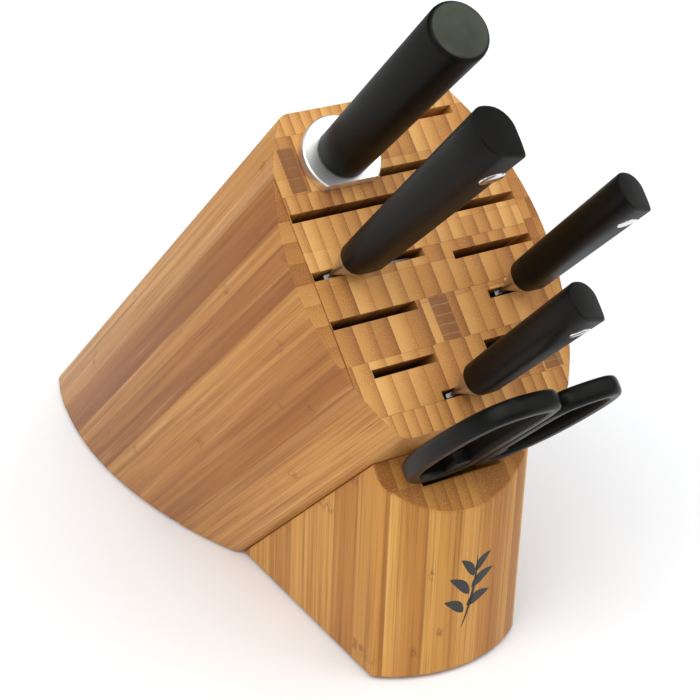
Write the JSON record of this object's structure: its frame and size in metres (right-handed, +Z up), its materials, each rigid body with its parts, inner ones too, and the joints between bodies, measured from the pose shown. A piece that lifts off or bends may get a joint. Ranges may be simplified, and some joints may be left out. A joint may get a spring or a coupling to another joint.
{
  "type": "knife block with knives",
  "caption": "Slanted laminated-bamboo knife block on a rounded pedestal, holding kitchen knives, a honing steel and shears that slide out of their slots.",
  "frame": {"origin": "middle of the base of the bounding box, on the table", "axes": "+Z up; the slotted face and the handles point up and towards -Y; +X is to the right of someone who faces the slotted face"},
  "size_m": [0.13, 0.421, 0.3177],
  "materials": {
    "chef_blade": "satin",
    "chef_bolster": "satin",
    "chef_emblem": "polished",
    "chef_handle": "black resin-filled wood, satin",
    "core_board_1": "oiled end grain on the face, strip-laminated",
    "core_board_2": "oiled end grain on the face, strip-laminated",
    "core_board_3": "oiled end grain on the face, strip-laminated",
    "core_board_4": "oiled end grain on the face, strip-laminated",
    "core_board_5": "oiled end grain on the face, strip-laminated",
    "core_board_6": "oiled end grain on the face, strip-laminated",
    "core_board_7": "oiled end grain on the face, strip-laminated",
    "core_board_8": "oiled end grain on the face, strip-laminated",
    "foot_back_left": "clear",
    "foot_back_right": "clear",
    "foot_front_left": "clear",
    "foot_front_right": "clear",
    "left_cheek": "oiled, strip-laminated",
    "paring_blade": "satin",
    "paring_bolster": "satin",
    "paring_emblem": "polished",
    "paring_handle": "black resin-filled wood, satin",
    "pedestal_back": "oiled, vertical strips",
    "pedestal_front": "oiled, vertical strips",
    "pedestal_left": "oiled, vertical strips",
    "pedestal_right": "oiled, vertical strips",
    "pivot_nut": "satin",
    "pivot_screw": "satin",
    "right_cheek": "oiled, strip-laminated",
    "shears_left_blade": "satin",
    "shears_left_handle": "black moulded grip, satin",
    "shears_right_blade": "satin",
    "shears_right_handle": "black moulded grip, satin",
    "steel_collar": "fine brushed, bright",
    "steel_handle": "black resin-filled wood, satin",
    "steel_rod": "satin",
    "utility_blade": "satin",
    "utility_bolster": "satin",
    "utility_emblem": "polished",
    "utility_handle": "black resin-filled wood, satin"
  },
  "bodies": {
    "block": {"left_cheek": "left_cheek", "right_cheek": "right_cheek", "core_board_1": "core_board_1", "core_board_2": "core_board_2", "core_board_3": "core_board_3", "core_board_4": "core_board_4", "core_board_5": "core_board_5", "core_board_6": "core_board_6", "core_board_7": "core_board_7", "core_board_8": "core_board_8", "pedestal_left": "pedestal_left", "pedestal_right": "pedestal_right", "pedestal_front": "pedestal_front", "pedestal_back": "pedestal_back", "foot_front_left": "foot_front_left", "foot_front_right": "foot_front_right", "foot_back_left": "foot_back_left", "foot_back_right": "foot_back_right"},
    "honing_steel": {"steel_rod": "steel_rod", "steel_collar": "steel_collar", "steel_handle": "steel_handle"},
    "chef_knife": {"chef_blade": "chef_blade", "chef_bolster": "chef_bolster", "chef_handle": "chef_handle", "chef_emblem": "chef_emblem"},
    "utility_knife": {"utility_blade": "utility_blade", "utility_bolster": "utility_bolster", "utility_handle": "utility_handle", "utility_emblem": "utility_emblem"},
    "paring_knife": {"paring_blade": "paring_blade", "paring_bolster": "paring_bolster", "paring_handle": "paring_handle", "paring_emblem": "paring_emblem"},
    "shears": {"shears_left_blade": "shears_left_blade", "shears_left_handle": "shears_left_handle", "pivot_screw": "pivot_screw", "pivot_nut": "pivot_nut"},
    "shears_right": {"shears_right_blade": "shears_right_blade", "shears_right_handle": "shears_right_handle"}
  },
  "joints": [
    {"name": "steel_slide", "type": "slide", "parent": "block", "child": "honing_steel", "axis": [0, -0.7133, 0.7009], "range_m": [0, 0.24]},
    {"name": "chef_slide", "type": "slide", "parent": "block", "child": "chef_knife", "axis": [0, -0.7133, 0.7009], "range_m": [0, 0.215]},
    {"name": "utility_slide", "type": "slide", "parent": "block", "child": "utility_knife", "axis": [0, -0.7133, 0.7009], "range_m": [0, 0.165]},
    {"name": "paring_slide", "type": "slide", "parent": "block", "child": "paring_knife", "axis": [0, -0.7133, 0.7009], "range_m": [0, 0.1]},
    {"name": "shears_slide", "type": "slide", "parent": "block", "child": "shears", "axis": [0, -0.7133, 0.7009], "range_m": [0, 0.122]},
    {"name": "shears_pivot", "type": "hinge", "parent": "shears", "child": "shears_right", "pos_m": [0.001, -0.11604, 0.09704], "axis": [0, 0.7009, 0.7133], "range_deg": [0, 4.5]}
  ]
}
